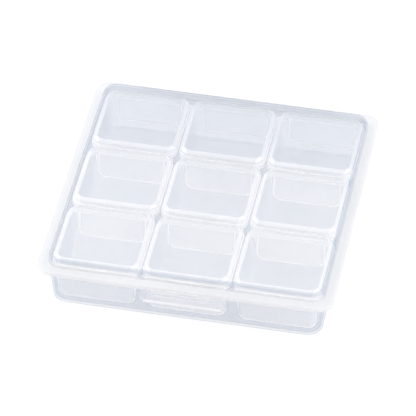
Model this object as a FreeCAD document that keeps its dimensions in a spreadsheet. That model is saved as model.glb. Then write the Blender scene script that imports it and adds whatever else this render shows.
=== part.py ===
import FreeCAD, Part
import math
import os
import Sketcher

# A clear carrying case for craft pieces: a drafted tray, a hinged cover with a snap
# clasp, and a three by three grid of small boxes that each have a hinged lid.
# The origin is the middle of the tray's underside, X runs to the right, Y to the
# hinge at the back and Z up.  Lengths are in millimetres, angles in degrees.
SIZES = {
    "box_width": 46.4,
    "box_depth": 45.2,
    "box_corner": 4.2,
    "box_gap_side": 0.8,
    "box_gap_row": 1.8,
    "base_height": 23.2,
    "base_draft": 4.25,
    "base_wall": 1.0,
    "bead_reach": 0.6,
    "bead_height": 1.6,
    "box_lid_height": 4.5,
    "box_lid_top": 1.2,
    "box_lid_bevel": 1.8,
    "tab_width": 17.5,
    "tab_thickness": 0.7,
    "tab_drop": 3.2,
    "tab_rise": 1.3,
    "tab_clearance": 0.15,
    "box_web_width": 28.0,
    "box_web_radius": 0.6,
    "box_web_thickness": 0.3,
    "case_wall": 1.2,
    "case_side_gap": 0.7,
    "case_end_gap": 1.5,
    "box_rim_rise": 0.8,
    "box_headroom": 0.5,
    "tray_draft": 4.5,
    "tray_corner": 8.0,
    "tray_foot_bevel": 0.8,
    "cover_draft": 5.0,
    "cover_corner": 7.0,
    "cover_top_bevel": 0.7,
    "flange_reach": 4.7,
    "flange_corner": 11.0,
    "flange_thickness": 1.65,
    "rim_inset": 1.6,
    "rim_thickness": 1.2,
    "rim_lip_thickness": 1.1,
    "rim_lip_drop": 1.0,
    "case_web_width": 110.0,
    "case_web_radius": 0.9,
    "case_web_thickness": 0.4,
    "lug_width": 33.0,
    "lug_height": 4.4,
    "lug_corner": 1.5,
    "lug_setback": 0.4,
    "clasp_width": 44.0,
    "clasp_height": 8.4,
    "clasp_corner": 1.8,
    "clasp_thickness": 1.2,
    "clasp_seam": 0.1,
    "clasp_web_width": 34.0,
    "clasp_lip_reach": 0.9,
    "clasp_lip_height": 1.1,
    "snap_reach": 0.6,
    "snap_height": 1.0,
    "snap_clearance": 0.2,
}
GRID_COUNT = 3
# The share of a fold's reach that stays flat before it turns.
BEND_SHARE = 0.5
INNER_BEND_SHARE = math.tan(math.pi / 8)
# Corners within this height of each other count as level, in millimetres.
LEVEL_SLACK = 1e-4

doc = FreeCAD.newDocument("craft_storage_organizer")
sheet = doc.addObject("Spreadsheet::Sheet", "sizes")
for row, alias in enumerate(SIZES, start=1):
    sheet.set(f"A{row}", alias)
    sheet.set(f"B{row}", str(SIZES[alias]))
    sheet.setAlias(f"B{row}", alias)
doc.recompute()


class Size:
    # A length or an angle, kept with the sheet formula that gives it.
    def __init__(self, value, formula):
        self.value = value
        self.formula = formula

    def __add__(self, other):
        other = as_size(other)
        return Size(self.value + other.value, f"({self.formula} + {other.formula})")

    def __sub__(self, other):
        other = as_size(other)
        return Size(self.value - other.value, f"({self.formula} - {other.formula})")

    def __mul__(self, factor):
        return Size(self.value * factor, f"({self.formula} * {factor})")

    def __truediv__(self, factor):
        return Size(self.value / factor, f"({self.formula} / {factor})")

    def __neg__(self):
        return self * -1


def as_size(number):
    if isinstance(number, Size):
        return number
    return Size(number, str(number))


def size(alias):
    return Size(float(sheet.get(alias)), f"sizes.{alias}")


ZERO = as_size(0)

# Sizes that follow from the driving ones.
base_width = size("box_width") - size("bead_reach") * 2
base_depth = size("box_depth") - size("bead_reach") * 2
base_corner = size("box_corner") - size("bead_reach")
seat_width = size("bead_reach") + size("base_wall")
pitch_x = size("box_width") + size("box_gap_side")
pitch_y = size("box_depth") + size("box_gap_row")
rim_width = pitch_x * (GRID_COUNT - 1) + size("box_width") + (size("case_side_gap") + size("case_wall")) * 2
rim_depth = pitch_y * (GRID_COUNT - 1) + size("box_depth") + (size("case_end_gap") + size("case_wall")) * 2
tray_height = size("case_wall") + size("base_height") - size("box_rim_rise")
cover_height = size("box_rim_rise") + size("box_lid_height") + size("box_headroom") + size("case_wall")
flange_width = rim_width + size("flange_reach") * 2
flange_depth = rim_depth + size("flange_reach") * 2
hinge_y = flange_depth / 2


def new_body(label, x=ZERO, y=ZERO, z=ZERO, turned=False):
    body = doc.addObject("PartDesign::Body", label)
    body.Label = label
    if turned:
        body.Placement.Rotation = FreeCAD.Rotation(FreeCAD.Vector(0, 0, 1), 180)
    for axis, place in zip("xyz", (x, y, z)):
        body.setExpression(f"Placement.Base.{axis}", place.formula)
    return body


def new_sketch(body, name, role, offset=ZERO):
    sketch = body.newObject("Sketcher::SketchObject", name)
    plane = next(item for item in body.Origin.OriginFeatures if item.Role == role)
    sketch.AttachmentSupport = [(plane, "")]
    sketch.MapMode = "FlatFace"
    sketch.setExpression("AttachmentOffset.Base.z", offset.formula)
    return sketch


def dimension(sketch, name, constraint, length):
    index = sketch.addConstraint(constraint)
    sketch.renameConstraint(index, name)
    sketch.setExpression(f"Constraints.{name}", length.formula)


def rectangle(sketch, width, low, high):
    # A rectangle that is centred on the upright axis, between two heights.
    x = width.value / 2
    corners = [(-x, low.value), (x, low.value), (x, high.value), (-x, high.value)]
    points = [FreeCAD.Vector(across, up, 0) for across, up in corners]
    sides = [Part.LineSegment(points[i], points[(i + 1) % 4]) for i in range(4)]
    sketch.addGeometry(sides, False)
    rule = Sketcher.Constraint
    for i in range(4):
        sketch.addConstraint(rule("Coincident", i, 2, (i + 1) % 4, 1))
    sketch.addConstraint([rule("Vertical", 1), rule("Horizontal", 2), rule("Vertical", 3)])
    sketch.addConstraint(rule("Symmetric", 0, 1, 0, 2, -2))
    dimension(sketch, "width", rule("DistanceX", 0, 1, 0, 2, width.value), width)
    dimension(sketch, "low", rule("DistanceY", -1, 1, 0, 1, low.value), low)
    dimension(sketch, "high", rule("DistanceY", -1, 1, 2, 1, high.value), high)


def rounded_outline(sketch, name, width, depth, corner, middle=ZERO):
    # A rectangle with four equal arcs for corners, centred on the upright axis.
    first = sketch.GeometryCount
    x = width.value / 2
    y = depth.value / 2
    r = corner.value
    up = middle.value
    quarter = math.pi / 2
    lines = [
        (-x + r, -y, x - r, -y),
        (x, -y + r, x, y - r),
        (x - r, y, -x + r, y),
        (-x, y - r, -x, -y + r),
    ]
    for x1, y1, x2, y2 in lines:
        ends = FreeCAD.Vector(x1, up + y1, 0), FreeCAD.Vector(x2, up + y2, 0)
        sketch.addGeometry(Part.LineSegment(*ends), False)
    centres = [(x - r, -y + r), (x - r, y - r), (-x + r, y - r), (-x + r, -y + r)]
    for turn, (cx, cy) in enumerate(centres):
        circle = Part.Circle(FreeCAD.Vector(cx, up + cy, 0), FreeCAD.Vector(0, 0, 1), r)
        start = (turn - 1) * quarter
        sketch.addGeometry(Part.ArcOfCircle(circle, start, start + quarter), False)
    rule = Sketcher.Constraint
    for turn in range(4):
        line = first + turn
        arc = first + 4 + turn
        following = first + (turn + 1) % 4
        sketch.addConstraint(rule("Tangent", line, 2, arc, 1))
        sketch.addConstraint(rule("Tangent", arc, 2, following, 1))
    upright = [rule("Vertical", first + 1), rule("Vertical", first + 3)]
    sketch.addConstraint([*upright, rule("Horizontal", first + 2)])
    for arc in range(first + 4, first + 7):
        sketch.addConstraint(rule("Equal", arc, arc + 1))
    sketch.addConstraint(rule("Symmetric", first, 1, first, 2, -2))
    dimension(sketch, f"{name}_width", rule("DistanceX", first + 3, 1, first + 1, 1, width.value), width)
    dimension(sketch, f"{name}_depth", rule("DistanceY", first, 1, first + 2, 1, depth.value), depth)
    dimension(sketch, f"{name}_corner", rule("Radius", first + 4, corner.value), corner)
    foot = middle - depth / 2
    dimension(sketch, f"{name}_foot", rule("DistanceY", -1, 1, first, 1, foot.value), foot)


def profile(sketch, points):
    # A closed outline of straight sides whose corners are all dimensioned from the origin.
    count = len(points)
    corners = [FreeCAD.Vector(across.value, up.value, 0) for across, up in points]
    sides = [Part.LineSegment(corners[i], corners[(i + 1) % count]) for i in range(count)]
    sketch.addGeometry(sides, False)
    rule = Sketcher.Constraint
    for i in range(count):
        sketch.addConstraint(rule("Coincident", i, 2, (i + 1) % count, 1))
    for i, (across, up) in enumerate(points):
        dimension(sketch, f"across{i}", rule("DistanceX", -1, 1, i, 1, across.value), across)
        dimension(sketch, f"up{i}", rule("DistanceY", -1, 1, i, 1, up.value), up)


def pad(body, name, sketch, length, backward=False, middle=False):
    feature = body.newObject("PartDesign::Pad", name)
    feature.Profile = sketch
    feature.setExpression("Length", length.formula)
    feature.Reversed = backward
    feature.Midplane = middle
    doc.recompute()
    return feature


def flat_items(items, kind, height):
    # Names of the edges or faces that lie level at one height.
    names = []
    for index, item in enumerate(items, start=1):
        if all(abs(vertex.Z - height.value) < LEVEL_SLACK for vertex in item.Vertexes):
            names.append(f"{kind}{index}")
    return names


def upright_items(items, kind):
    # Names of the edges or faces that reach from one height to another.
    names = []
    for index, item in enumerate(items, start=1):
        heights = [vertex.Z for vertex in item.Vertexes]
        if max(heights) - min(heights) > LEVEL_SLACK:
            names.append(f"{kind}{index}")
    return names


def drafted_shell(body, width, depth, height, draft, corner, wall, opens_up):
    # A moulded shell: its walls lean in from the open rim, with rounded upright corners.
    rim = height if opens_up else ZERO
    outline = new_sketch(body, "rim_outline", "XY_Plane", rim)
    rectangle(outline, width, -depth / 2, depth / 2)
    block = pad(body, "block", outline, height, backward=opens_up)
    lean = body.newObject("PartDesign::Draft", "lean")
    lean.Base = (block, upright_items(block.Shape.Faces, "Face"))
    lean.NeutralPlane = (block, flat_items(block.Shape.Faces, "Face", rim))
    lean.setExpression("Angle", draft.formula)
    lean.Reversed = opens_up
    doc.recompute()
    rounding = body.newObject("PartDesign::Fillet", "corners")
    rounding.Base = (lean, upright_items(lean.Shape.Edges, "Edge"))
    rounding.setExpression("Radius", corner.formula)
    doc.recompute()
    hollow = body.newObject("PartDesign::Thickness", "hollow")
    hollow.Base = (rounding, flat_items(rounding.Shape.Faces, "Face", rim))
    hollow.setExpression("Value", wall.formula)
    hollow.Reversed = True
    doc.recompute()
    return hollow


def bevel(body, name, feature, height, depth):
    # A bevel along the outer edges of the level face at one height.
    edge = body.newObject("PartDesign::Chamfer", name)
    edge.Base = (feature, flat_items(feature.Shape.Edges, "Edge", height))
    edge.setExpression("Size", depth.formula)
    doc.recompute()
    return edge


def ring(body, name, base, thickness, outer, inner):
    # A flat collar between two rounded outlines.
    outline = new_sketch(body, f"{name}_outline", "XY_Plane", base)
    rounded_outline(outline, "outer", *outer)
    rounded_outline(outline, "inner", *inner)
    return pad(body, name, outline, thickness)


def living_hinge(label, width, radius, thickness, place, turned=False):
    # A thin film folded back behind the hinge line, from one moulding's edge to the other's.
    body = new_body(label, *place, turned=turned)
    section = new_sketch(body, "section", "YZ_Plane")
    fold = fold_line(radius, radius * BEND_SHARE)
    lining = fold_line(radius - thickness, radius * BEND_SHARE - thickness * INNER_BEND_SHARE)
    profile(section, [*fold, *reversed(lining)])
    pad(body, "web", section, width, middle=True)
    return body


def fold_line(reach, flat):
    # Half of a flattened octagon round the hinge line.
    return [(ZERO, -reach), (flat, -reach), (reach, -flat), (reach, flat), (flat, reach), (ZERO, reach)]


def make_tray():
    body = new_body("tray")
    wall = size("case_wall")
    shell = drafted_shell(
        body, rim_width, rim_depth, tray_height, size("tray_draft"), size("tray_corner"), wall, True
    )
    bevel(body, "foot_bevel", shell, ZERO, size("tray_foot_bevel"))
    # The rim is a collar with its edge turned down, set back under the cover's flange.
    reach = size("flange_reach") - size("rim_inset")
    corner = size("flange_corner") - size("rim_inset")
    outer = (rim_width + reach * 2, rim_depth + reach * 2, corner)
    inner = (rim_width - wall, rim_depth - wall, size("tray_corner") - wall / 2)
    underside = tray_height - size("rim_thickness")
    ring(body, "rim", underside, size("rim_thickness"), outer, inner)
    edge = size("rim_lip_thickness")
    lip_inner = (outer[0] - edge * 2, outer[1] - edge * 2, corner - edge)
    ring(body, "rim_lip", underside - size("rim_lip_drop"), size("rim_lip_drop"), outer, lip_inner)
    # At the back the rim runs out to the hinge line.
    tongue = new_sketch(body, "hinge_edge_outline", "XY_Plane", underside)
    rectangle(tongue, size("case_web_width"), rim_depth / 2, hinge_y)
    pad(body, "hinge_edge", tongue, size("rim_thickness"))
    # The catch lug stands out from the front wall, under the rim.
    lug_root = rim_depth / 2 - wall
    lug = new_sketch(body, "lug_outline", "XZ_Plane", lug_root)
    middle = tray_height - size("lug_height") / 2
    rounded_outline(lug, "lug", size("lug_width"), size("lug_height"), size("lug_corner"), middle)
    pad(body, "catch_lug", lug, wall + reach - size("lug_setback"))
    return body


def make_cover():
    body = new_body("case_lid", z=tray_height)
    wall = size("case_wall")
    shell = drafted_shell(
        body, rim_width, rim_depth, cover_height, size("cover_draft"), size("cover_corner"), wall, False
    )
    bevel(body, "top_bevel", shell, cover_height, size("cover_top_bevel"))
    outer = (flange_width, flange_depth, size("flange_corner"))
    inner = (rim_width - wall, rim_depth - wall, size("cover_corner") - wall / 2)
    ring(body, "flange", ZERO, size("flange_thickness"), outer, inner)
    return body


def make_clasp():
    # The clasp hangs from the cover's front edge; its own origin is on that hinge line.
    body = new_body("front_clasp", y=-hinge_y, z=tray_height)
    top = -size("clasp_seam")
    foot = top - size("clasp_height")
    thickness = size("clasp_thickness")
    plate = new_sketch(body, "plate_outline", "XZ_Plane", -thickness)
    middle = top - size("clasp_height") / 2
    rounded_outline(plate, "plate", size("clasp_width"), size("clasp_height"), size("clasp_corner"), middle)
    pad(body, "plate", plate, thickness)
    # A lip along the foot gives the finger its hold.
    lip_length = size("clasp_width") - size("clasp_corner") * 2
    lip = new_sketch(body, "lip_section", "YZ_Plane")
    profile(lip, [
        (ZERO, foot),
        (ZERO, foot + size("clasp_lip_height")),
        (-size("clasp_lip_reach"), foot + size("clasp_lip_height") / 2),
        (-size("clasp_lip_reach"), foot),
    ])
    pad(body, "finger_lip", lip, lip_length, middle=True)
    # The snap ridge sits just under the tray's catch lug.
    ridge_top = -size("lug_height") - size("snap_clearance")
    ridge_tip = thickness + size("snap_reach")
    ridge = new_sketch(body, "snap_section", "YZ_Plane")
    profile(ridge, [
        (thickness, ridge_top),
        (ridge_tip, ridge_top - size("snap_height") / 3),
        (ridge_tip, ridge_top - size("snap_height") * 2 / 3),
        (thickness, ridge_top - size("snap_height")),
    ])
    pad(body, "snap_ridge", ridge, size("lug_width") - size("lug_corner") * 2, middle=True)
    return body


def make_box_base():
    body = new_body("box_base_pattern")
    wall = size("base_wall")
    height = size("base_height")
    drafted_shell(body, base_width, base_depth, height, size("base_draft"), base_corner, wall, True)
    outer = (size("box_width"), size("box_depth"), size("box_corner"))
    inner = (base_width - wall, base_depth - wall, base_corner - wall / 2)
    ring(body, "rim_bead", height - size("bead_height"), size("bead_height"), outer, inner)
    return body


def make_box_lid():
    body = new_body("box_lid_pattern")
    height = size("box_lid_height")
    width = size("box_width")
    depth = size("box_depth")
    outline = new_sketch(body, "lid_outline", "XY_Plane")
    rounded_outline(outline, "lid", width, depth, size("box_corner"))
    block = pad(body, "block", outline, height)
    bevel(body, "shoulder", block, height, size("box_lid_bevel"))
    # The lid's seat is as wide as the base's beaded rim.
    cavity = new_sketch(body, "cavity_outline", "XY_Plane")
    inside_width = width - seat_width * 2
    inside_depth = depth - seat_width * 2
    rounded_outline(cavity, "cavity", inside_width, inside_depth, size("box_corner") - seat_width)
    hollow = body.newObject("PartDesign::Pocket", "hollow")
    hollow.Profile = cavity
    hollow.setExpression("Length", (height - size("box_lid_top")).formula)
    hollow.Reversed = True
    doc.recompute()
    # The opening tab hangs in front of the bead, a hair clear of it.
    near = -depth / 2
    clear = near - size("tab_clearance")
    far = clear - size("tab_thickness")
    tab = new_sketch(body, "tab_section", "YZ_Plane")
    profile(tab, [
        (near, ZERO),
        (near, size("tab_rise")),
        (far, size("tab_rise") / 2),
        (far, -size("tab_drop")),
        (clear, -size("tab_drop")),
        (clear, ZERO),
    ])
    pad(body, "tab", tab, size("tab_width"), middle=True)
    return body


def copy_of(pattern, label, x, y, z):
    body = new_body(label, x, y, z)
    copy = doc.addObject("PartDesign::FeatureBase", f"{label}_copy")
    copy.BaseFeature = pattern
    body.Group = [copy]
    body.Tip = copy
    return body


pieces = [make_tray(), make_cover(), make_clasp()]
pieces.append(living_hinge(
    "case_hinge", size("case_web_width"), size("case_web_radius"), size("case_web_thickness"),
    (ZERO, hinge_y, tray_height)
))
pieces.append(living_hinge(
    "clasp_hinge", size("clasp_web_width"), size("case_web_radius"), size("case_web_thickness"),
    (ZERO, -hinge_y, tray_height), turned=True
))
base_pattern = make_box_base()
lid_pattern = make_box_lid()
web_pattern = living_hinge(
    "box_hinge_pattern", size("box_web_width"), size("box_web_radius"), size("box_web_thickness"),
    (ZERO, ZERO, ZERO)
)
# Rows count from the back, columns from the left.
floor = size("case_wall")
parting = floor + size("base_height")
for row in range(GRID_COUNT):
    for column in range(GRID_COUNT):
        name = f"r{row + 1}c{column + 1}"
        steps = (GRID_COUNT - 1) / 2
        x = pitch_x * (column - steps)
        y = pitch_y * (steps - row)
        pieces.append(copy_of(base_pattern, f"box_base_{name}", x, y, floor))
        pieces.append(copy_of(lid_pattern, f"box_lid_{name}", x, y, parting))
        pieces.append(copy_of(web_pattern, f"box_hinge_{name}", x, y + size("box_depth") / 2, parting))

doc.recompute()
for item in doc.Objects:
    if "Invalid" in item.State or "Error" in item.State:
        raise RuntimeError(f"{item.Label} did not build: {item.State}")
for piece in pieces:
    if piece.Shape.isNull() or not piece.Shape.isValid() or len(piece.Shape.Solids) != 1:
        raise RuntimeError(f"{piece.Label} is not one sound solid")

os.makedirs("parts", exist_ok=True)
for piece in pieces:
    piece.Shape.exportStep(f"parts/{piece.Label}.step")
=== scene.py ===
import bmesh
import bpy
import math
from mathutils import Matrix, Vector


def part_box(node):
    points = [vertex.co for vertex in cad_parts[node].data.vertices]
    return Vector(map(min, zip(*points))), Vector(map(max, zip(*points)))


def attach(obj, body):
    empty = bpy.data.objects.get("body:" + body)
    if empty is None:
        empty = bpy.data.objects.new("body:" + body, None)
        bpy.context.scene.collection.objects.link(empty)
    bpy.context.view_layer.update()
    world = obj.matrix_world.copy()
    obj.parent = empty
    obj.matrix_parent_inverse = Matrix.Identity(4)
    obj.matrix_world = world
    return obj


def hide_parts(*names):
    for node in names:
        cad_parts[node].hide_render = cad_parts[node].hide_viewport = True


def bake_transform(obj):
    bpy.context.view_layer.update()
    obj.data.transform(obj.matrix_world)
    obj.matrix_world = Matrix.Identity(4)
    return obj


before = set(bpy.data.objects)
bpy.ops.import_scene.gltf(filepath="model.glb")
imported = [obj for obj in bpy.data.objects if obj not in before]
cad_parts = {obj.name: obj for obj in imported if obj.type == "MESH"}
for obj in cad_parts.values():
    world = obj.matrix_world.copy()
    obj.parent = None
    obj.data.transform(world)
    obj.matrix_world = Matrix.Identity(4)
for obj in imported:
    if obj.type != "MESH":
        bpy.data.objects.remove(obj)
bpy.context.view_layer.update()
mm = 0.001
gridNames = [f"r{row}c{column}" for row in (1, 2, 3) for column in (1, 2, 3)]
print("frame loaded,", len(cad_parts), "nodes")


def boxOf(node):
    low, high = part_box(node)
    return low, high, (low + high) / 2, high - low


def pick(obj, kind, test):  # selects the faces or edges that pass the test, in edit mode
    bpy.ops.mesh.select_mode(type=kind)
    bpy.ops.mesh.select_all(action="DESELECT")
    mesh = bmesh.from_edit_mesh(obj.data)
    for part in (mesh.edges if kind == "EDGE" else mesh.faces):
        part.select_set(test(part))
    bmesh.update_edit_mesh(obj.data)


def level(part, height):  # every corner of this edge or face is at the height
    return all(abs(vert.co.z - height) < 1e-6 for vert in part.verts)


def upright(edge):
    return abs(edge.verts[0].co.z - edge.verts[1].co.z) > 1e-4


def addBlock(name, centre, size):
    bpy.ops.object.select_all(action="DESELECT")
    bpy.ops.mesh.primitive_cube_add(size=1, location=centre)
    block = bpy.context.active_object
    block.name = block.data.name = name
    block.scale = size
    bpy.ops.object.transform_apply(location=True, rotation=True, scale=True)
    return block


def resizeAbout(centre, x, y):
    bpy.ops.transform.resize(value=(x, y, 1), center_override=centre)


def finishPiece(obj, wall, edge, smooth):  # gives a sheet its wall, eases its edges and shades it
    if wall:
        thick = obj.modifiers.new("wall", "SOLIDIFY")
        thick.thickness = wall
        thick.offset = -1
        thick.use_even_offset = True
        bpy.ops.object.modifier_apply(modifier=thick.name)
    if edge:
        ease = obj.modifiers.new("edges", "BEVEL")
        ease.width = edge
        ease.segments = 2
        ease.limit_method = "ANGLE"
        ease.angle_limit = math.radians(40)
        bpy.ops.object.modifier_apply(modifier=ease.name)
    bpy.ops.object.shade_smooth_by_angle(angle=math.radians(smooth))
    even = obj.modifiers.new("normals", "WEIGHTED_NORMAL")
    even.keep_sharp = True
    bpy.ops.object.modifier_apply(modifier=even.name)
    return obj


def mouldShell(name, shape):
    # a block is tapered, rounded, opened and given a stepped rim, then a wall
    centre, size = Vector(shape["centre"]), Vector(shape["size"])
    openZ = centre.z + shape["opens"] * size.z / 2
    farZ = centre.z - shape["opens"] * size.z / 2
    shell = addBlock(name, centre, size)
    bpy.ops.object.mode_set(mode="EDIT")
    lean = 2 * size.z * math.tan(math.radians(shape["draft"]))
    pick(shell, "FACE", lambda face: level(face, farZ))
    resizeAbout((centre.x, centre.y, farZ), 1 - lean / size.x, 1 - lean / size.y)
    pick(shell, "EDGE", upright)
    bpy.ops.mesh.bevel(offset=shape["corner"], segments=10, profile=0.5, affect="EDGES")
    pick(shell, "EDGE", lambda edge: level(edge, farZ))
    bpy.ops.mesh.bevel(offset=shape["shoulder"], segments=6, profile=0.5, affect="EDGES")
    pick(shell, "FACE", lambda face: level(face, openZ))
    bpy.ops.mesh.delete(type="FACE")
    pick(shell, "EDGE", lambda edge: edge.is_boundary)
    width, depth, height = size.x, size.y, openZ
    for spread, rise in shape["rim"]:
        bpy.ops.mesh.extrude_edges_move(TRANSFORM_OT_translate={"value": (0, 0, rise)})
        height += rise
        if spread:
            resizeAbout((centre.x, centre.y, height), 1 + 2 * spread / width, 1 + 2 * spread / depth)
            width += 2 * spread
            depth += 2 * spread
    bpy.ops.object.mode_set(mode="OBJECT")
    return finishPiece(shell, shape["wall"], shape["edge"], smooth=32)


def easedBlock(name, shape):
    low, high = Vector(shape["low"]), Vector(shape["high"])
    block = addBlock(name, (low + high) / 2, high - low)
    return finishPiece(block, 0, shape["edge"], smooth=40)


def joinPieces(main, *others):
    bpy.ops.object.select_all(action="DESELECT")
    for part in (*others, main):
        part.select_set(True)
    bpy.context.view_layer.objects.active = main
    bpy.ops.object.join()


def foldFilm(name, hinge, shape):
    # half a tube round the hinge line, on the side that it bulges to
    bpy.ops.object.select_all(action="DESELECT")
    bpy.ops.mesh.primitive_cylinder_add(
        vertices=32, radius=shape["radius"], depth=shape["width"],
        location=hinge, rotation=(0, math.pi / 2, 0), end_fill_type="NOTHING",
    )
    film = bpy.context.active_object
    film.name = film.data.name = name
    bpy.ops.object.transform_apply(location=True, rotation=True, scale=True)
    bpy.ops.object.mode_set(mode="EDIT")
    bpy.ops.mesh.select_all(action="SELECT")
    bpy.ops.mesh.subdivide(number_cuts=1)
    pick(film, "FACE", lambda face: (face.calc_center_median().y - hinge.y) * shape["bulges"] < 0)
    bpy.ops.mesh.delete(type="FACE")
    bpy.ops.object.mode_set(mode="OBJECT")
    return finishPiece(film, shape["wall"], 0, smooth=50)


# the clear plastics: two shared groups, then one material for each kind of moulding
def nodeMaths(nodes, link):
    def setOrLink(socket, value):
        if isinstance(value, (int, float)):
            socket.default_value = value
        else:
            link(value, socket)

    def maths(kind, *values):
        node = nodes.new("ShaderNodeMath")
        node.operation = kind
        for socket, value in zip(node.inputs, values):
            setOrLink(socket, value)
        return node.outputs["Value"]

    def ramp(value, low, high, toLow=0, toHigh=1):
        node = nodes.new("ShaderNodeMapRange")
        node.interpolation_type = "SMOOTHSTEP"
        setOrLink(node.inputs["Value"], value)
        setOrLink(node.inputs["From Min"], low)
        setOrLink(node.inputs["From Max"], high)
        setOrLink(node.inputs["To Min"], toLow)
        setOrLink(node.inputs["To Max"], toHigh)
        return node.outputs["Result"]

    return maths, ramp


def makeGroup(name, inputs, outputs):
    group = bpy.data.node_groups.new(name, "ShaderNodeTree")
    for label, default in inputs.items():
        socket = group.interface.new_socket(label, in_out="INPUT", socket_type="NodeSocketFloat")
        socket.default_value = default
    for label in outputs:
        group.interface.new_socket(label, in_out="OUTPUT", socket_type="NodeSocketFloat")
    takes, gives = group.nodes.new("NodeGroupInput"), group.nodes.new("NodeGroupOutput")
    return group, group.nodes, group.links.new, takes.outputs, gives.inputs


skinPattern = {
    "flow": (0.2, 0.8), "haze": (0.6, 1.4), "rough": (0.08, 0.18), "shade": (0.25, 0.75),
    "scuffStretch": (900, 60, 300), "scuffTurn": (0, 0, 0.5), "scuffs": (0.62, 0.74),
    "peelScale": 700, "far": (0, 60 * mm),
}


def makeSkinGroup(pattern):  # flow haze, fine scuffs, a faint orange peel and a painted shade towards the rear
    group, nodes, link, takes, gives = makeGroup(
        "mouldedSkin", {"Flow Scale": 40, "Haze": 0.1, "Scuffs": 0.05},
        ("Milk", "Shade", "Rear Shade", "Roughness", "Height"),
    )
    maths, ramp = nodeMaths(nodes, link)
    coords = nodes.new("ShaderNodeTexCoord").outputs["Object"]
    flow = nodes.new("ShaderNodeTexNoise")
    flow.inputs["Detail"].default_value = 3
    link(coords, flow.inputs["Vector"])
    link(takes["Flow Scale"], flow.inputs["Scale"])
    stretch = nodes.new("ShaderNodeMapping")
    stretch.inputs["Scale"].default_value = pattern["scuffStretch"]
    stretch.inputs["Rotation"].default_value = pattern["scuffTurn"]
    link(coords, stretch.inputs["Vector"])
    scuff = nodes.new("ShaderNodeTexNoise")
    scuff.inputs["Scale"].default_value = 1
    link(stretch.outputs["Vector"], scuff.inputs["Vector"])
    peel = nodes.new("ShaderNodeTexNoise")
    peel.inputs["Scale"].default_value = pattern["peelScale"]
    link(coords, peel.inputs["Vector"])
    marks = maths("MULTIPLY", ramp(scuff.outputs["Fac"], *pattern["scuffs"]), takes["Scuffs"])
    streaks = ramp(flow.outputs["Fac"], *pattern["flow"], *pattern["haze"])
    rough = ramp(flow.outputs["Fac"], *pattern["flow"], *pattern["rough"])
    link(maths("ADD", maths("MULTIPLY", streaks, takes["Haze"]), marks), gives["Milk"])
    link(maths("ADD", rough, marks), gives["Roughness"])
    link(ramp(flow.outputs["Fac"], *pattern["shade"]), gives["Shade"])
    spot = nodes.new("ShaderNodeSeparateXYZ")  # painted shade: the resin lets less light through towards the rear, away from the clasp side
    link(coords, spot.inputs["Vector"])
    link(ramp(spot.outputs["Y"], *pattern["far"]), gives["Rear Shade"])
    link(peel.outputs["Fac"], gives["Height"])
    return group


blushPattern = {
    # where each effect starts and ends, in shares of the surface normal
    "shoulder": (0.15, 0.55), "flat": (0.9, 0.995), "corner": (0.1, 0.4), "wall": (0.12, 0.4),
    "front": (0.3, 0.8), "lined": (0.45, 0.7), "crest": (0.9, 0.985),
    # the flat of a small box's front and rear wall, with its round lower corners and a painted highlight
    # along its outline
    "halfPitch": (23.6 * mm, 23.5 * mm), "frontHalf": 16.5 * mm, "rearHalf": 13.6 * mm,
    "frontZ": 6.8 * mm, "rearZ": 12.2 * mm, "round": 4 * mm,
    "outline": (0.3 * mm, 0.8 * mm), "inside": (3.6 * mm, 4.2 * mm),
}


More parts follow.
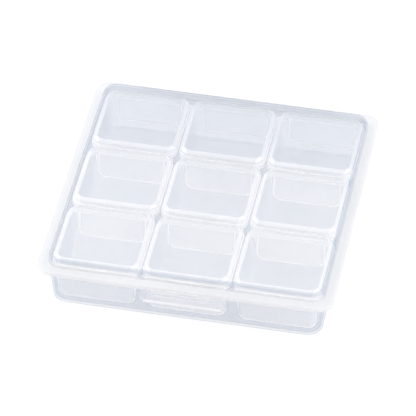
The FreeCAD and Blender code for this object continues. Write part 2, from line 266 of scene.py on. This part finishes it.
def makeBlushGroup(pattern):
    # thick or rounded resin is whiter: shoulders by slope, corners by turn, rims by height; the corner-ball
    # mask paints highlights on rounded corners, the outline mask paints a highlight line on box walls, and
    # the crest mask paints shade on the cover's rounded top edge
    group, nodes, link, takes, gives = makeGroup(
        "edgeBlush",
        {"Low": 0, "High": 0, "Fade": 0.4 * mm, "Shoulder": 0.5, "Corner": 0.2, "Corner Highlight": 0, "Line": 0,
         "Rim": 0.5, "Crest": 1},
        ("Milk", "Wall", "Front", "Panel", "Band", "Crest"),
    )
    maths, ramp = nodeMaths(nodes, link)
    coords = nodes.new("ShaderNodeTexCoord")
    spot = nodes.new("ShaderNodeSeparateXYZ")
    link(coords.outputs["Object"], spot.inputs["Vector"])
    lean = nodes.new("ShaderNodeSeparateXYZ")
    link(coords.outputs["Normal"], lean.inputs["Vector"])
    slope = maths("ABSOLUTE", lean.outputs["Z"])
    across, along = maths("ABSOLUTE", lean.outputs["X"]), maths("ABSOLUTE", lean.outputs["Y"])
    rounded = maths("MULTIPLY", ramp(slope, *pattern["shoulder"]), ramp(slope, *pattern["flat"], 1, 0))
    turned = ramp(maths("MINIMUM", across, along), *pattern["corner"])

    # how far a point lies outside the flat, from the box's own middle
    halfX, halfY = pattern["halfPitch"]
    home = maths("ABSOLUTE", maths("WRAP", spot.outputs["X"], halfX, -halfX))
    rear = maths("GREATER_THAN", maths("WRAP", spot.outputs["Y"], halfY, -halfY), 0)
    narrower = maths("MULTIPLY", rear, pattern["frontHalf"] - pattern["rearHalf"])
    raised = maths("MULTIPLY", rear, pattern["rearZ"] - pattern["frontZ"])
    straight = maths("SUBTRACT", pattern["frontHalf"], narrower)
    bottom = maths("ADD", pattern["frontZ"], raised)
    beside = maths("MAXIMUM", maths("SUBTRACT", home, straight), 0)
    under = maths("MAXIMUM", maths("SUBTRACT", bottom, spot.outputs["Z"]), 0)
    reach = maths("SQRT", maths("ADD", maths("MULTIPLY", beside, beside), maths("MULTIPLY", under, under)))
    fromLine = maths("ABSOLUTE", maths("SUBTRACT", reach, pattern["round"]))
    # painted highlight: a pale line traced along the flat's rounded lower outline on front and rear walls
    outlineHighlight = maths("MULTIPLY", ramp(fromLine, *pattern["outline"], 1, 0), ramp(along, *pattern["lined"]))

    above = ramp(spot.outputs["Z"], maths("SUBTRACT", takes["Low"], takes["Fade"]), takes["Low"])
    below = ramp(spot.outputs["Z"], takes["High"], maths("ADD", takes["High"], takes["Fade"]), 1, 0)
    band = maths("MULTIPLY", above, below)
    # painted shade: the cover's rounded top edge is marked for a darker pass, standing in for the dark line
    # that refraction shows there
    top = ramp(spot.outputs["Z"], takes["Crest"], maths("ADD", takes["Crest"], takes["Fade"]))
    milk = maths("MULTIPLY", band, takes["Rim"])
    # the corner-ball and outline masks are painted highlights; the rim, shoulder and corner masks are
    # whiter resin
    for mask, label in (
        (rounded, "Shoulder"), (turned, "Corner"),
        (maths("MULTIPLY", rounded, turned), "Corner Highlight"), (outlineHighlight, "Line"),
    ):
        milk = maths("MAXIMUM", milk, maths("MULTIPLY", mask, takes[label]))
    link(milk, gives["Milk"])
    link(ramp(slope, *pattern["wall"], 1, 0), gives["Wall"])
    link(ramp(along, *pattern["front"]), gives["Front"])
    link(ramp(reach, *pattern["inside"], 1, 0), gives["Panel"])
    link(band, gives["Band"])
    link(maths("MULTIPLY", top, ramp(slope, *pattern["crest"], 1, 0)), gives["Crest"])
    return group


skinGroup = makeSkinGroup(skinPattern)
blushGroup = makeBlushGroup(blushPattern)


def clearPlastic(name, look):
    material = bpy.data.materials.new(name)
    material.use_nodes = True
    nodes, link = material.node_tree.nodes, material.node_tree.links.new
    maths, ramp = nodeMaths(nodes, link)
    resin = nodes["Principled BSDF"]
    resin.inputs["IOR"].default_value = 1.49
    skin, blush = nodes.new("ShaderNodeGroup"), nodes.new("ShaderNodeGroup")
    skin.node_tree, blush.node_tree = skinGroup, blushGroup
    for group in (skin, blush):
        for socket in group.inputs:
            socket.default_value = look[socket.name]

    def blend(kind, first, second, factor):
        node = nodes.new("ShaderNodeMix")
        node.data_type = kind
        link(factor, node.inputs["Factor"])
        for label, value in (("A", first), ("B", second)):
            if isinstance(value, tuple):
                node.inputs[label].default_value = (*value, 1)
            elif isinstance(value, float):
                node.inputs[label].default_value = value
            else:
                link(value, node.inputs[label])
        return node.outputs["Result"]

    bump = nodes.new("ShaderNodeBump")
    bump.inputs["Strength"].default_value = look["peel"]
    bump.inputs["Distance"].default_value = look["peelDepth"]
    link(skin.outputs["Height"], bump.inputs["Height"])
    link(bump.outputs["Normal"], resin.inputs["Normal"])
    link(skin.outputs["Roughness"], resin.inputs["Roughness"])
    facing = nodes.new("ShaderNodeLayerWeight")
    facing.inputs["Blend"].default_value = 0.5
    grazing = facing.outputs["Facing"]

    # how much of the wall is cloudy
    gloss = ramp(maths("POWER", grazing, 4), 0, 1, look["gloss"], look["edgeMilk"])
    hazes = maths("ADD", maths("MULTIPLY", blush.outputs["Panel"], look["panelMilk"]), look["wallMilk"])
    walls = maths("MULTIPLY", maths("MULTIPLY", blush.outputs["Wall"], blush.outputs["Front"]), hazes)
    cloud = maths("MAXIMUM", maths("ADD", skin.outputs["Milk"], walls), blush.outputs["Milk"])
    cloud = maths("MINIMUM", maths("ADD", gloss, cloud), 1.0)

    # how much light the clear rest lets pass
    # painted shade: the clear resin passes less light towards the rear
    passes = blend("FLOAT", look["clear"], look["farClear"], skin.outputs["Rear Shade"])
    passes = blend("FLOAT", passes, look["wallClear"], blush.outputs["Wall"])
    passes = blend("FLOAT", passes, look["rimClear"], blush.outputs["Band"])
    # painted shade: the crest passes less light, a dark line along the cover's rounded top edge
    passes = blend("FLOAT", passes, look["crestShadeClear"], blush.outputs["Crest"])
    passes = blend("FLOAT", passes, look["edgeClear"], maths("POWER", grazing, look["edgePower"]))
    body = maths("SUBTRACT", 1, maths("MULTIPLY", maths("SUBTRACT", 1, cloud), passes))
    shaded = tuple(part * look["shade"] for part in look["milk"])
    milk = blend("RGBA", look["milk"], shaded, skin.outputs["Shade"])
    link(blend("RGBA", look["smoke"], milk, maths("DIVIDE", cloud, body)), resin.inputs["Base Color"])
    rays = nodes.new("ShaderNodeLightPath")  # lamp light passes the thin walls more easily than sight
    lit = maths("MAXIMUM", rays.outputs["Is Shadow Ray"], rays.outputs["Is Diffuse Ray"])
    link(maths("MULTIPLY", body, ramp(lit, 0, 1, 1, look["lampShare"])), resin.inputs["Alpha"])
    return material


resinLook = {
    "Flow Scale": 25, "Haze": 0.03, "Scuffs": 0.03, "peel": 0.1, "peelDepth": 0.2 * mm,
    "Low": 0, "High": 0, "Fade": 0.3 * mm, "Crest": 1.0,
    "Shoulder": 0.1, "Corner": 0.1, "Corner Highlight": 0, "Line": 0, "Rim": 0.5,
    "milk": (0.82, 0.822, 0.842), "shade": 0.96, "smoke": (0.0, 0.1, 0.29),
    "gloss": 0.04, "edgeMilk": 0.4, "wallMilk": 0, "panelMilk": 0, "lampShare": 0.35,
    "clear": 0.983, "farClear": 0.932, "wallClear": 0.985, "rimClear": 0.96, "crestShadeClear": 0.83,
    "edgeClear": 0.6, "edgePower": 2.5,
}
coverLook = resinLook | {"Low": 23.5 * mm, "High": 25.3 * mm, "Crest": 27.8 * mm}
trayLook = resinLook | {
    "Low": 21.4 * mm, "High": 23.6 * mm, "Shoulder": 0.02, "edgeMilk": 0.2,
    # the tray passes less light than the other mouldings: painted shade for the dark band below the boxes
    # and the panels seen through the tray floor
    "clear": 0.85, "farClear": 0.85, "wallClear": 0.965,
}
lugLook = resinLook | {
    "Haze": 0.5, "Shoulder": 0.5, "Corner": 0.4, "Rim": 0,
    "milk": (0.92, 0.92, 0.93), "wallClear": 0.98, "edgePower": 4,
}
claspLook = lugLook | {"Haze": 0.08, "Low": 15.1 * mm, "High": 15.3 * mm, "Rim": 0.3}
boxLook = resinLook | {
    "Flow Scale": 60, "milk": (0.99, 0.99, 0.995),
    "clear": 0.984, "farClear": 0.972, "wallClear": 0.98, "rimClear": 0.98,
    "edgeClear": 0.66, "edgePower": 4,
}
baseLook = boxLook | {
    # the base's outline mask paints a highlight line along the wall's lower outline
    "Low": 22.8 * mm, "High": 24.4 * mm, "Line": 0.9, "Rim": 0.6, "wallMilk": 0.04, "panelMilk": 0.2,
}
lidLook = boxLook | {
    "Haze": 0.12, "Low": 21.2 * mm, "High": 25.7 * mm,
    # the lid's corner-ball mask paints highlights on its shoulder corners
    "Shoulder": 0.52, "Corner": 0.52, "Corner Highlight": 0.85, "Rim": 0.75, "wallMilk": 0.5,
}
filmLook = resinLook | {"Flow Scale": 90, "Haze": 0.3, "Scuffs": 0.2, "peel": 0.2}
coverClear = clearPlastic("coverClear", coverLook)
trayClear = clearPlastic("trayClear", trayLook)
claspClear = clearPlastic("claspClear", claspLook)
lugClear = clearPlastic("lugClear", lugLook)
baseClear = clearPlastic("baseClear", baseLook)
lidClear = clearPlastic("lidClear", lidLook)
hingeFilm = clearPlastic("hingeFilm", filmLook)
print("plastics made")


def mount(piece, body, node, material):
    piece.data.materials.clear()
    piece.data.materials.append(material)
    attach(piece, body)
    if node:
        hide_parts(node)


# the case: the tray with its hinge edge and catch lug, and the cover
coverLow, coverHigh, _, coverSize = boxOf("case_lid")
seamZ = coverLow.z
rimInset = 4.7 * mm  # from the flange's edge to the tray's wall
rimSpan = coverSize.x - 2 * rimInset
trayTop = seamZ - 1.2 * mm
trayShape = {
    "opens": 1, "draft": 4.1, "corner": 8 * mm, "shoulder": 1.0 * mm, "wall": 1.2 * mm, "edge": 0.25 * mm,
    "centre": (0, 0, trayTop / 2), "size": (rimSpan, rimSpan, trayTop),
    "rim": [(1.9 * mm, 0), (0, -1.0 * mm)],
}
lugShape = {
    "low": (-16.5 * mm, -75 * mm, 19.2 * mm),
    "high": (16.5 * mm, -71.6 * mm, seamZ - 1.1 * mm), "edge": 0.5 * mm,
}
hingeEdgeShape = {
    "low": (-55 * mm, 74 * mm, trayTop),
    "high": (55 * mm, 77 * mm, seamZ), "edge": 0.15 * mm,
}
tray = mouldShell("trayShell", trayShape)
lug = easedBlock("trayLug", lugShape)
hingeEdge = easedBlock("trayEdge", hingeEdgeShape)
joinPieces(tray, hingeEdge)
mount(tray, "tray", "tray", trayClear)
mount(lug, "tray", None, lugClear)

flangeTop = seamZ + 1.65 * mm
coverSpan = rimSpan - 0.3 * mm
coverShape = {
    "opens": -1, "draft": 5, "corner": 7 * mm, "shoulder": 2.4 * mm, "wall": 1.2 * mm, "edge": 0.5 * mm,
    "centre": (0, 0, (flangeTop + coverHigh.z) / 2),
    "size": (coverSpan, coverSpan, coverHigh.z - flangeTop),
    "rim": [(4.85 * mm, 0), (0, -1.65 * mm)],
}
cover = mouldShell("coverShell", coverShape)
mount(cover, "case_lid", "case_lid", coverClear)
print("case moulded")

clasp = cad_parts["front_clasp"]  # the clasp keeps its CAD shape
clasp.data.materials.clear()
clasp.data.materials.append(claspClear)

# the small boxes: one base and one lid are moulded, then copied to the nine places
baseLow, baseHigh, baseMid, baseSize = boxOf("box_base_r2c2")
lidTop = boxOf("box_lid_r2c2")[1].z
partZ = baseHigh.z
frontY = baseLow.y
seat = 0.05 * mm  # keeps touching faces apart
beadHeight, beadOut = 1.6 * mm, 0.7 * mm
lipHeight, lipOut = 0.9 * mm, 0.4 * mm
floorZ, beadZ, lipZ = baseLow.z + seat, partZ - beadHeight, partZ + lipHeight
baseShape = {
    "opens": 1, "draft": 4.25, "corner": 5 * mm, "shoulder": 1.3 * mm, "wall": 1.0 * mm, "edge": 0.2 * mm,
    "centre": (baseMid.x, baseMid.y, (floorZ + beadZ) / 2),
    "size": (baseSize.x - 2 * beadOut, baseSize.y - 2 * beadOut, beadZ - floorZ),
    "rim": [(beadOut, 0), (0, beadHeight - seat)],
}
lidShape = {
    "opens": -1, "draft": 1.5, "corner": 6.5 * mm, "shoulder": 3.0 * mm, "wall": 1.0 * mm, "edge": 0.2 * mm,
    "centre": (baseMid.x, baseMid.y, (lipZ + lidTop) / 2),
    "size": (baseSize.x - 2 * lipOut, baseSize.y - 2 * lipOut, lidTop - lipZ),
    "rim": [(lipOut, 0), (0, -lipHeight)],
}
tabShape = {
    "low": (-8.75 * mm, frontY - 0.85 * mm, partZ - 3.2 * mm),
    "high": (8.75 * mm, frontY - 0.15 * mm, partZ + 1.0 * mm), "edge": 0.25 * mm,
}
tabRootShape = {
    "low": (-8.5 * mm, frontY - 0.5 * mm, partZ + 0.1 * mm),
    "high": (8.5 * mm, frontY + 0.4 * mm, partZ + 0.85 * mm), "edge": 0.1 * mm,
}
boxFilmShape = {"width": 28 * mm, "radius": 0.6 * mm, "wall": 0.3 * mm, "bulges": 1}
basePattern = mouldShell("boxBase", baseShape)
lidPattern = mouldShell("boxLid", lidShape)
tab = easedBlock("boxTab", tabShape)
tabRoot = easedBlock("tabRoot", tabRootShape)
joinPieces(lidPattern, tab, tabRoot)
for name in gridNames:
    shift = boxOf(f"box_base_{name}")[2] - baseMid
    for pattern, body, node, plastic in (
        (basePattern, "tray", f"box_base_{name}", baseClear),
        (lidPattern, f"box_lid_{name}", f"box_lid_{name}", lidClear),
    ):
        piece = pattern.copy()
        piece.data = pattern.data.copy()
        piece.name = piece.data.name = f"{pattern.name}_{name}"
        piece.data.transform(Matrix.Translation(shift))
        bpy.context.scene.collection.objects.link(piece)
        mount(piece, body, node, plastic)
    hingeAt = Vector((shift.x, baseHigh.y + shift.y, partZ))
    film = foldFilm(f"boxFilm_{name}", hingeAt, boxFilmShape)
    film.data.materials.append(hingeFilm)
    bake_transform(film)
    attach(film, "tray")
    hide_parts(f"box_hinge_{name}")
for pattern in (basePattern, lidPattern):
    bpy.data.objects.remove(pattern)
print("small boxes placed")

# the hinge films of the cover and of the clasp
caseFilmShape = {"width": 110 * mm, "radius": 0.9 * mm, "wall": 0.4 * mm, "bulges": 1}
backHinge = Vector((0, coverHigh.y, seamZ))
caseFilm = foldFilm("caseFilm", backHinge, caseFilmShape)
caseFilm.data.materials.append(hingeFilm)
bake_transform(caseFilm)
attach(caseFilm, "tray")
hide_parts("case_hinge")

claspFilmShape = {"width": 34 * mm, "radius": 0.9 * mm, "wall": 0.4 * mm, "bulges": -1}
frontHinge = Vector((0, coverLow.y, seamZ))
claspFilm = foldFilm("claspFilm", frontHinge, claspFilmShape)
claspFilm.data.materials.append(hingeFilm)
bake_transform(claspFilm)
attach(claspFilm, "case_lid")
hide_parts("clasp_hinge")
print("films folded")

# a white table lit from below, a white room, two soft boxes and the camera
tableLook = {"size": 8, "colour": (0.5, 0.5, 0.51), "roughness": 0.9, "glow": 0.5}
bpy.ops.object.select_all(action="DESELECT")
bpy.ops.mesh.primitive_plane_add(size=tableLook["size"], location=(0, 0, 0))
floor = bpy.context.active_object
floor.name = "floor"
floorPaint = bpy.data.materials.new("floorPaint")
floorPaint.use_nodes = True
floorNodes, floorLink = floorPaint.node_tree.nodes, floorPaint.node_tree.links.new
paint = floorNodes["Principled BSDF"]
paint.inputs["Base Color"].default_value = (*tableLook["colour"], 1)
paint.inputs["Roughness"].default_value = tableLook["roughness"]
paint.inputs["Specular IOR Level"].default_value = 0
glow = floorNodes.new("ShaderNodeEmission")
glow.inputs["Strength"].default_value = tableLook["glow"]
both = floorNodes.new("ShaderNodeAddShader")
floorLink(paint.outputs["BSDF"], both.inputs[0])
floorLink(glow.outputs["Emission"], both.inputs[1])
floorLink(both.outputs["Shader"], floorNodes["Material Output"].inputs["Surface"])
floor.data.materials.append(floorPaint)

world = bpy.data.worlds.new("studio")
bpy.context.scene.world = world
world.use_nodes = True
sky = world.node_tree.nodes["Background"]
sky.inputs["Color"].default_value = (1, 1, 1, 1)
sky.inputs["Strength"].default_value = 1.0

lamps = {
    "leftBox": {"at": (-0.9, 0.0, 0.42), "size": (0.6, 0.16), "energy": 3.4},
    "rightBox": {"at": (0.8, -0.2, 0.6), "size": (0.6, 0.16), "energy": 2.5},
}
for name, lamp in lamps.items():
    bpy.ops.object.light_add(type="AREA", location=lamp["at"])
    softBox = bpy.context.active_object
    softBox.name = name
    softBox.data.shape = "RECTANGLE"
    softBox.data.size, softBox.data.size_y = lamp["size"]
    softBox.data.energy = lamp["energy"]
    softBox.rotation_euler = (-softBox.location).to_track_quat("-Z", "Y").to_euler()

cameraAt = {
    "azimuth": 11.2, "elevation": 42.15, "distance": 2.006, "lens": 331.1, "sensor": 36,
    "target": (-1.56 * mm, -1.26 * mm, 15 * mm),
}
turn, tilt = math.radians(cameraAt["azimuth"]), math.radians(cameraAt["elevation"])
back = Vector((math.sin(turn) * math.cos(tilt), -math.cos(turn) * math.cos(tilt), math.sin(tilt)))
bpy.ops.object.camera_add(location=Vector(cameraAt["target"]) + back * cameraAt["distance"])
camera = bpy.context.active_object
camera.rotation_mode = "QUATERNION"
camera.rotation_quaternion = (-back).to_track_quat("-Z", "Y")
camera.data.lens = cameraAt["lens"]
camera.data.sensor_width = cameraAt["sensor"]
camera.data.clip_end = 20
scene = bpy.context.scene
scene.camera = camera
scene.view_settings.view_transform = "Standard"
scene.cycles.max_bounces = 24
scene.cycles.diffuse_bounces = 3
scene.cycles.transmission_bounces = 24
scene.cycles.transparent_max_bounces = 48
print("stage set")
